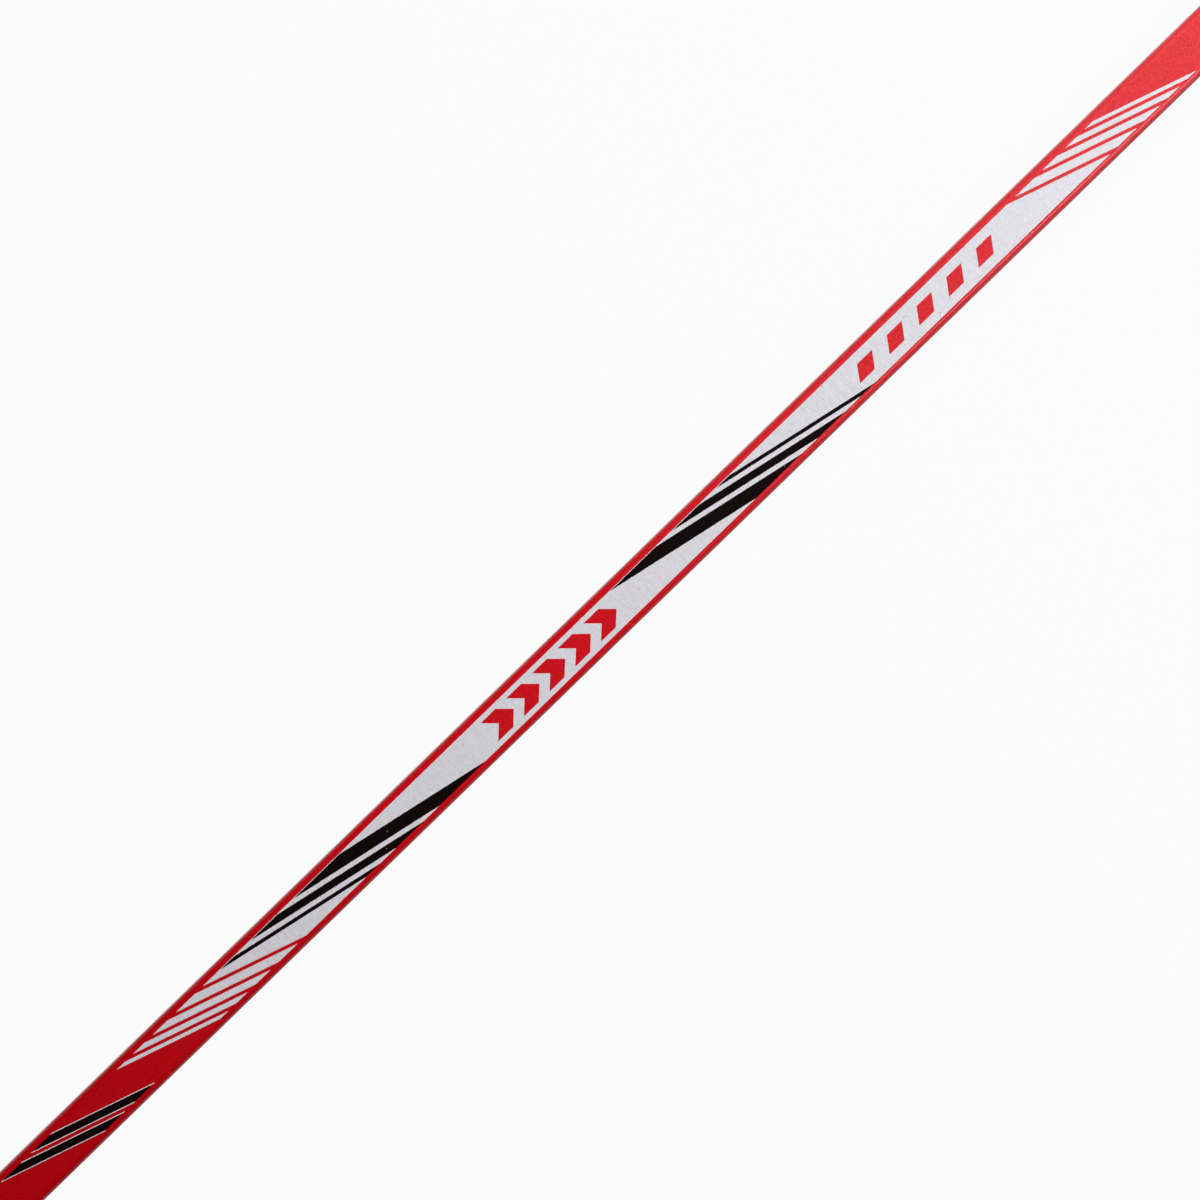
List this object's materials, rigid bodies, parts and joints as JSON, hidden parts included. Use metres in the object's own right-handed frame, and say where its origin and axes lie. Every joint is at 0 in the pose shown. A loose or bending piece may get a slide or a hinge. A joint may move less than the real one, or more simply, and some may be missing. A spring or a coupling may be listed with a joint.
{
  "type": "ringette stick",
  "caption": "Straight junior ringette stick: printed rounded-rectangle shaft, tapered neck, grooved moulded tip and ribbed rubber butt cap.",
  "frame": {"origin": "on the surface that the stick lies on, under the middle of its length and width", "axes": "+X along the shaft towards the butt cap, -X towards the tip, +Y across the wide face, +Z out of the printed front face"},
  "size_m": [1.18, 0.027, 0.0184],
  "materials": {
    "core_wood": "planed aspen",
    "face_wood": "planed birch",
    "glass_laminate": "glass fibre strip in epoxy",
    "red_lacquer": "gloss red lacquer over glass cloth",
    "print_film": "printed heat-transfer film under clear coat",
    "tip_nylon": "moulded nylon, fine texture",
    "screw_steel": "zinc plated steel",
    "cap_rubber": "moulded rubber, satin"
  },
  "bodies": {
    "root": {"core_ply_1": "core_wood", "core_ply_2": "core_wood", "core_ply_3": "core_wood", "core_ply_4": "core_wood", "core_ply_5": "core_wood", "core_ply_6": "core_wood", "core_ply_7": "core_wood", "core_ply_8": "core_wood", "core_ply_9": "core_wood", "face_ply_front": "face_wood", "face_ply_back": "face_wood", "glass_laminate_front": "glass_laminate", "glass_laminate_back": "glass_laminate", "glass_wrap": "red_lacquer", "print_film_front": "print_film", "print_film_back": "print_film", "tip": "tip_nylon", "tip_screw_front": "screw_steel", "tip_screw_back": "screw_steel", "butt_cap": "cap_rubber"}
  },
  "joints": []
}
